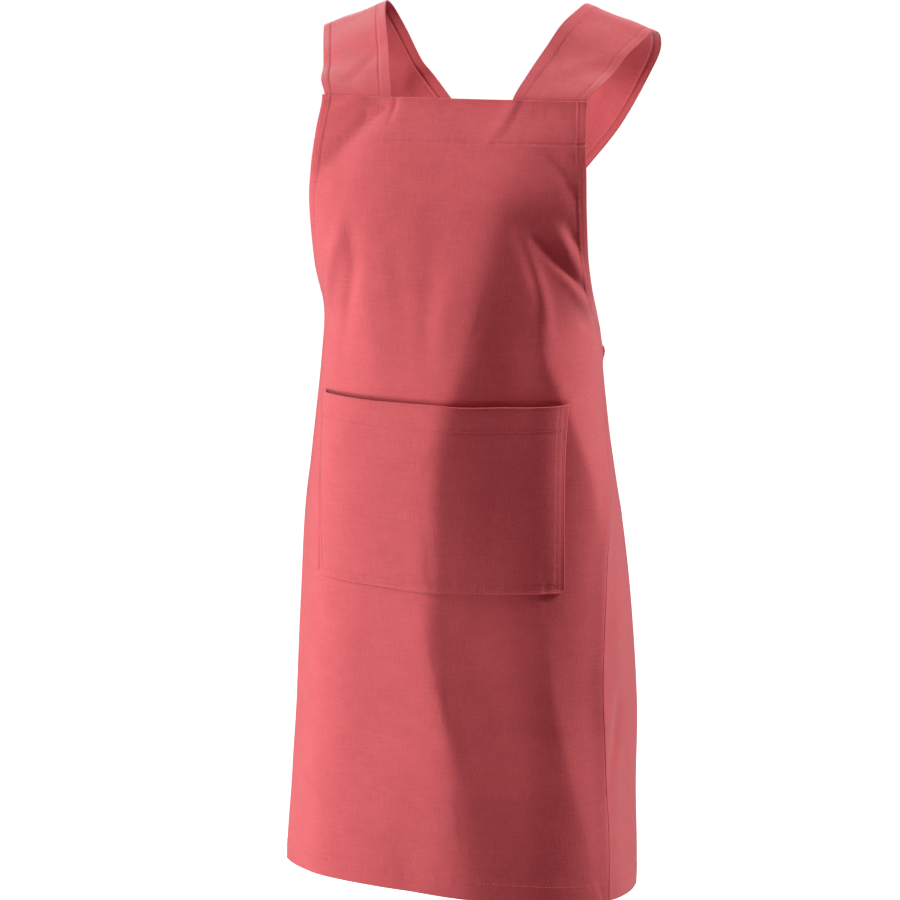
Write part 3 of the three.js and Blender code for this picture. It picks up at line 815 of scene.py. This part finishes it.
def strap_stations(side, under):
    """Rows of inner edge, middle and outer edge from the bib to the opposite back panel."""
    half = STRAP_WIDTH / 2
    widths = np.array([-half, 0, half])
    bib_middle = BIB_HALF_WIDTH - STRAP_INSET - half

    def cloth_out(arc, z, out):
        return cloth_point(arc, z) + normal_of(cloth_point, arc, z) * out

    stations = [
        cloth_out(side * (bib_middle + widths), np.full(3, -BIB_DROP - tuck), -LAYER_GAP)
        for tuck in (STRAP_TUCK, STRAP_TUCK / 2, 0)
    ]
    start = stations[2][1]
    crest = np.array([side * SHOULDER_SPREAD, 0, -SHOULDER_DIP])

    def free(centre, slope):
        tilt = math.radians(SHOULDER_SLOPE * slope)
        out = np.array([side * math.cos(tilt), 0, -math.sin(tilt)])
        return centre + widths[:, None] * out

    for row in STRAP_FRONT:
        shares = np.array([row["out"], row["back"], row["rise"]])
        stations.append(free(start + (crest - start) * shares, row["slope"]))
    sink = CLOTH + CROSSING_GAP if under else 0
    end_top = float(back_top(1))
    fall = end_top + BLADE_DROP
    end_middle = -(BACK_OPENING / 2 + half / math.cos(math.atan2(BLADE_SPREAD, -fall)))
    run = np.array([end_middle - BLADE_SPREAD, fall])
    run = run / math.hypot(*run)

    def on_back(share, depth):
        z = -BLADE_DROP + (end_top + BLADE_DROP) * share + run[0] * widths
        across = BLADE_SPREAD + (end_middle - BLADE_SPREAD) * share - run[1] * widths
        return cloth_out(side * (half_girth(z) - across), z, depth)

    blade = on_back(0, 0)[1]
    for row in STRAP_OVER:
        shares = np.array([row["inward"], row["back"], row["fall"]])
        stations.append(free(crest + (blade - crest) * shares, row["slope"]))
    for share in (0, 0.25, 0.5, 0.75):
        stations.append(on_back(share, -sink * math.sin(math.pi * share)))
    stations.append(on_back(1, -LAYER_GAP - sink / 3))
    stations.append(on_back(1 + STRAP_BACK_TUCK / -fall, -LAYER_GAP - sink / 3))
    return np.array(stations)


# Creases of a strap: along is the share of its length, across that of its width from the neck edge.
STRAP_FOLDS = named("along across slant depth length width", [
    (0.17, 0.62, 0.3, 1.2, 0.05, 0.16),
    (0.13, 0.4, -0.35, -1.0, 0.05, 0.12),
    (0.26, 0.3, 0.1, -0.8, 0.05, 0.16),
    (0.33, 0.6, -0.2, 0.9, 0.05, 0.18),
    (0.5, 0.45, 0.2, -0.9, 0.05, 0.15),
    (0.63, 0.6, 0.1, 0.7, 0.06, 0.15),
])
# The part of a strap that hangs free, in shares of its length
FREE_START = 0.07
FREE_END = 0.93
FREE_EASE = 0.05


def strap(name, side, under):
    stations = strap_stations(side, under)
    half = STRAP_WIDTH / 2
    fine = np.linspace(0, 1, RAIL_SAMPLES)
    line = rail(stations[:, 1], fine)
    length = np.r_[0, np.cumsum(np.linalg.norm(np.diff(line, axis=0), axis=1))]
    whole = length[-1]
    steps = np.array(STRAP_END_STEPS)
    middle = steps[-1] + spread(0, whole, GRID) * (whole - 2 * steps[-1])
    places = np.concatenate([steps, middle, whole - steps[::-1]])
    v = np.interp(places, length, fine)
    neck, arm = np.array(NECK_STEPS), STRAP_WIDTH - np.array(ARM_STEPS)[::-1]
    between = neck[-1] + spread(neck[-1], arm[0], GRID) * (arm[0] - neck[-1])
    across = np.concatenate([neck, between, arm])
    w = across / half - 1

    def ribbon(v, w):
        """Points at places along the strap and across it, -1 to 1, by the three rails."""
        v = np.clip(v, 0, 1)
        inner, centre, outer = (rail(stations[:, k], v)[:, None, :] for k in range(3))
        w = w[None, :, None]
        return inner * (w * w - w) / 2 + centre * (1 - w * w) + outer * (w * w + w) / 2

    surface = ribbon(v, w)
    along = ribbon(v + RAIL_PROBE, w) - ribbon(v - RAIL_PROBE, w)
    aside = ribbon(v, w + WIDTH_PROBE) - ribbon(v, w - WIDTH_PROBE)
    normal = np.cross(aside, along) * side
    normal = normal / np.linalg.norm(normal, axis=-1, keepdims=True)
    run, from_neck = np.meshgrid(places, across, indexing="ij")
    from_arm, from_end = STRAP_WIDTH - from_neck, np.minimum(run, whole - run)
    neck_stitch = STRAP_NECK_HEM - EDGE_STITCH
    out = band(from_neck, STRAP_NECK_HEM, rise=0.45)
    out = out + groove(from_neck, neck_stitch, depth=1.1, width=0.9)
    out = out + groove(from_arm, STRAP_ARM_HEM, depth=0.7)
    out = out + proud(from_arm, STRAP_ARM_HEM + HEM_EASE, HEM_RELIEF)
    out = out + pucker(run, from_neck, STRAP_NECK_HEM) + pucker(run + 3, from_arm, STRAP_ARM_HEM)
    share = run / whole
    free_run = smooth((share - FREE_START) / FREE_EASE) * smooth((FREE_END - share) / FREE_EASE)
    for fold in STRAP_FOLDS:
        off = (share - fold["along"]) / fold["length"]
        lateral = from_neck / STRAP_WIDTH - fold["across"] - fold["slant"] * off
        out = out + free_run * fold["depth"] * np.exp(-(off**2) - (lateral / fold["width"]) ** 2)
    out = out * (SEWN_RELIEF + (1 - SEWN_RELIEF) * free_run)
    # The bib's folded edge presses the strap in where it comes out.
    out = out - STRAP_PRESS * np.exp(-(((run - STRAP_TUCK) / STRAP_PRESS_LENGTH) ** 2))
    edges = edge_near(from_neck, from_arm, from_end)
    outside, inside = faces_of(surface, normal, out, STRAP_CLOTH, edges)
    cloth_uv = np.stack([side * from_neck, run], -1)
    seams = [place_of(across, neck_stitch), place_of(across, STRAP_WIDTH - STRAP_ARM_HEM)]
    if side > 0:
        outside, inside, cloth_uv = outside[:, ::-1], inside[:, ::-1], cloth_uv[:, ::-1]
        seams = [len(across) - 1 - at for at in seams]
    shown = [int(place_of(places, at)) for at in (STRAP_TUCK + 2, whole - STRAP_BACK_TUCK - 2)]
    lines = [along_grid(outside[slice(*shown)], at, True) for at in seams]
    return (closed_cloth(name, outside, inside, cloth_uv), lines), whole


def new_material(name):
    material = bpy.data.materials.new(name)
    material.use_nodes = True
    tree = material.node_tree
    return material, tree.nodes, tree.links, tree.nodes["Principled BSDF"]


def put(node, values):
    """Set a node's own sockets by name."""
    for name, value in values.items():
        node.inputs[name].default_value = value


def raise_bump(nodes, links, shader, height, strength, distance):
    bump = nodes.new("ShaderNodeBump")
    put(bump, {"Strength": strength, "Distance": distance})
    links.new(height, bump.inputs["Height"])
    links.new(bump.outputs["Normal"], shader.inputs["Normal"])


def dye(nodes, links, shader, share, stops):
    """Colour the shader between two stops of a share from 0 to 1."""
    ramp = nodes.new("ShaderNodeValToRGB")
    for element, stop in zip(ramp.color_ramp.elements, stops):
        element.position = stop["at"]
        element.color = (*stop["colour"], 1)
    links.new(share, ramp.inputs["Fac"])
    links.new(ramp.outputs["Color"], shader.inputs["Base Color"])


CLOTH_DYE = [
    dict(at=0.36, colour=(0.59, 0.074, 0.087)),
    dict(at=0.66, colour=(0.73, 0.12, 0.136)),
]
THREAD_DYE = [
    dict(at=0, colour=(0.62, 0.075, 0.095)),
    dict(at=1, colour=(0.80, 0.15, 0.17)),
]
# The cloth's patterns: how often they repeat in a metre, and their shares of the relief and the dye
WEAVE = dict(scale=430, relief=0.45)
SLUBS = dict(scale=900, long=55, relief=0.5, dye=0.25)
GRAIN = dict(scale=620, relief=0.9, dye=0.3)
MOTTLE = dict(scale=38, dye=0.2)
TWIST_SCALE = 2600


def cotton():
    """Plain woven cotton: weave, slubs and grain in the bump, a mottled dye, a bloom of sheen."""
    material, nodes, links, shader = new_material("coral_cotton")
    put(shader, {"Roughness": 0.78, "Specular IOR Level": 0.4})
    put(shader, {"Sheen Weight": 0.65, "Sheen Roughness": 0.45, "Sheen Tint": (1, 0.9, 0.9, 1)})
    uv = nodes.new("ShaderNodeUVMap")
    uv.uv_map = "cloth"

    def scaled(x, y, offset=0.0):
        node = nodes.new("ShaderNodeMapping")
        put(node, {"Scale": (x, y, 1), "Location": (offset, offset, offset)})
        links.new(uv.outputs["UV"], node.inputs["Vector"])
        return node.outputs["Vector"]

    def noise(vector, detail=2.0):
        node = nodes.new("ShaderNodeTexNoise")
        put(node, {"Scale": 1, "Detail": detail})
        links.new(vector, node.inputs["Vector"])
        return node.outputs["Fac"]

    def thread(direction):
        node = nodes.new("ShaderNodeTexWave")
        node.wave_type = "BANDS"
        node.bands_direction = direction
        put(node, {"Scale": 1, "Distortion": 2.4, "Detail": 1})
        links.new(scaled(WEAVE["scale"], WEAVE["scale"]), node.inputs["Vector"])
        return node.outputs["Fac"]

    def combine(kind, a, b):
        node = nodes.new("ShaderNodeMath")
        node.operation = kind
        for socket, value in zip(node.inputs, (a, b)):
            if isinstance(value, (int, float)):
                socket.default_value = value
            else:
                links.new(value, socket)
        return node.outputs[0]

    def blend(key, *patterns):
        """The sum of patterns, each by its share of the relief or the dye."""
        total = None
        for pattern, value in patterns:
            part = combine("MULTIPLY", value, pattern[key])
            total = part if total is None else combine("ADD", total, part)
        return total

    warp_slub = noise(scaled(SLUBS["scale"], SLUBS["long"]))
    weft_slub = noise(scaled(SLUBS["long"], SLUBS["scale"], 3.7))
    slubs = combine("ADD", warp_slub, weft_slub)
    weave = combine("MULTIPLY", thread("X"), thread("Y"))
    mottle = noise(scaled(MOTTLE["scale"], MOTTLE["scale"], 1.3), 4.0)
    grain = noise(scaled(GRAIN["scale"], GRAIN["scale"], 2.1), 3.0)
    height = blend("relief", (SLUBS, slubs), (GRAIN, grain), (WEAVE, weave))
    shade = blend("dye", (SLUBS, slubs), (GRAIN, grain), (MOTTLE, mottle))
    raise_bump(nodes, links, shader, height, 0.4, 0.0006)
    dye(nodes, links, shader, shade, CLOTH_DYE)
    return material


def cotton_thread():
    """Matt sewing thread dyed with the cloth, a little lighter, its twist in the bump."""
    material, nodes, links, shader = new_material("coral_thread")
    put(shader, {"Roughness": 0.55, "Sheen Weight": 0.5, "Sheen Roughness": 0.4})
    place = nodes.new("ShaderNodeTexCoord")
    twist = nodes.new("ShaderNodeTexNoise")
    put(twist, {"Scale": TWIST_SCALE, "Detail": 1})
    links.new(place.outputs["Object"], twist.inputs["Vector"])
    raise_bump(nodes, links, shader, twist.outputs["Fac"], 0.4, 0.0001)
    dye(nodes, links, shader, twist.outputs["Fac"], THREAD_DYE)
    return material


# Softboxes aimed at the middle of the apron, in metres. Azimuth 0 is in front and 90 at +X.
LIGHTS = named("name azimuth height distance power", [
    ("key", -69, 1.9, 4, 96),
    ("low_key", -62, -0.5, 4, 148),
    ("side", 111, 1.9, 4, 154),
    ("high_side", 100, 3, 3, 67),
])
LIGHT_WIDTH = 0.8
LIGHT_TALL = 1.3
LIGHT_AIM = Vector((0, -0.08, -0.45))
WORLD_COLOUR = (1, 0.6, 0.66, 1)
WORLD_STRENGTH = 0.22


def light_scene():
    for row in LIGHTS:
        light = bpy.data.lights.new(row["name"], "AREA")
        light.shape = "RECTANGLE"
        light.size = LIGHT_WIDTH
        light.size_y = LIGHT_TALL
        light.energy = row["power"]
        lamp = bpy.data.objects.new(row["name"], light)
        turn = math.radians(row["azimuth"])
        ahead, aside = row["distance"] * math.cos(turn), row["distance"] * math.sin(turn)
        lamp.location = (aside, -ahead, row["height"])
        lamp.rotation_euler = (LIGHT_AIM - lamp.location).to_track_quat("-Z", "Y").to_euler()
        bpy.context.scene.collection.objects.link(lamp)
    world = bpy.data.worlds.new("studio")
    world.use_nodes = True
    put(world.node_tree.nodes["Background"], {"Color": WORLD_COLOUR, "Strength": WORLD_STRENGTH})
    bpy.context.scene.world = world
    bpy.context.scene.view_settings.view_transform = "Standard"


# The photo's camera: its place in metres, its lens, and how far it looks down and to its left.
CAMERA = dict(place=(0.8962, -2.7581, 0.147), lens=116, sensor=36, down=11.63, turn=18.69)
VIEW_DEPTH = 200


def camera():
    data = bpy.data.cameras.new("camera")
    data.sensor_width = CAMERA["sensor"]
    data.lens = CAMERA["lens"]
    data.clip_end = VIEW_DEPTH
    view = bpy.data.objects.new("camera", data)
    view.location = CAMERA["place"]
    view.rotation_euler = (math.radians(90 - CAMERA["down"]), 0, math.radians(CAMERA["turn"]))
    bpy.context.scene.collection.objects.link(view)
    bpy.context.scene.camera = view


# The pale floor: height above its middle at distances from it, in metres.
FLOOR = named("radius rise", [
    (1.5, 0), (4, 0), (20, 0), (32, 1), (44, 4), (60, 12),
])
FLOOR_DROP = 1.35
FLOOR_SHADE = 0.35
FLOOR_GLOW = 0.9
FLOOR_SIDES = 96


def floor():
    """A pale floor that rises far away and glows there, as a lit studio sweep does."""
    turn = np.linspace(0, 2 * math.pi, FLOOR_SIDES, endpoint=False)
    points, faces = [(0, 0, -FLOOR_DROP)], []
    for row in FLOOR:
        radius, z = row["radius"], row["rise"] - FLOOR_DROP
        points += [(radius * math.cos(t), radius * math.sin(t), z) for t in turn]
    for i in range(FLOOR_SIDES):
        j = (i + 1) % FLOOR_SIDES
        faces.append((0, 1 + i, 1 + j))
        for ring in range(len(FLOOR) - 1):
            a, b = 1 + ring * FLOOR_SIDES, 1 + (ring + 1) * FLOOR_SIDES
            faces.append((a + i, b + i, b + j, a + j))
    mesh = bpy.data.meshes.new("floor")
    mesh.from_pydata(points, [], faces)
    mesh.shade_smooth()
    ground = bpy.data.objects.new("floor", mesh)
    material, nodes, links, shader = new_material("pale_floor")
    put(shader, {"Base Color": (0.9, 0.9, 0.9, 1), "Roughness": 0.9})
    put(shader, {"Emission Color": (1, 1, 1, 1)})
    place = nodes.new("ShaderNodeTexCoord")
    far = nodes.new("ShaderNodeVectorMath")
    far.operation = "LENGTH"
    glow = nodes.new("ShaderNodeMapRange")
    glow.interpolation_type = "SMOOTHSTEP"
    put(glow, {"From Min": 0, "From Max": 4, "To Min": FLOOR_SHADE, "To Max": FLOOR_GLOW})
    links.new(place.outputs["Object"], far.inputs[0])
    links.new(far.outputs["Value"], glow.inputs["Value"])
    links.new(glow.outputs["Result"], shader.inputs["Emission Strength"])
    mesh.materials.append(material)
    bpy.context.scene.collection.objects.link(ground)
    # The floor's glow shows behind the apron and doesn't light it.
    ground.visible_diffuse = False
    ground.visible_glossy = False


def dress(made, node):
    """Give a made piece its cloth and its stitches, and hide its part from the frame."""
    piece, lines = made
    piece.data.materials.append(CORAL)
    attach(piece, "root")
    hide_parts(node)
    sewn = stitches(node + "_stitches", lines)


CORAL = cotton()
THREAD = cotton_thread()
front = front_panel()
left_back = back_panel("back_panel_left_cloth", 1)
right_back = back_panel("back_panel_right_cloth", -1)
left_strap, left_length = strap("strap_left_cloth", 1, False)
right_strap, right_length = strap("strap_right_cloth", -1, True)
patch = pocket()

# Flat sizes and areas in metres
front_rows = np.linspace(-BIB_DROP, HEM + HEM_RISE / 2, FRONT_SAMPLES)
front_area = 2 * float(np.mean(front_edge(front_rows))) * (BODY_LENGTH - HEM_RISE / 2) * MM**2
back_rows = np.linspace(SIDE_TOP, HEM, BACK_SAMPLES)
back_width = back_edge(back_rows) - front_edge(back_rows)

dress(front, "front_panel")
dress(left_back, "back_panel_left")
dress(right_back, "back_panel_right")
dress(left_strap, "strap_left")
dress(right_strap, "strap_right")
dress(patch, "pocket")

floor()
camera()
light_scene()
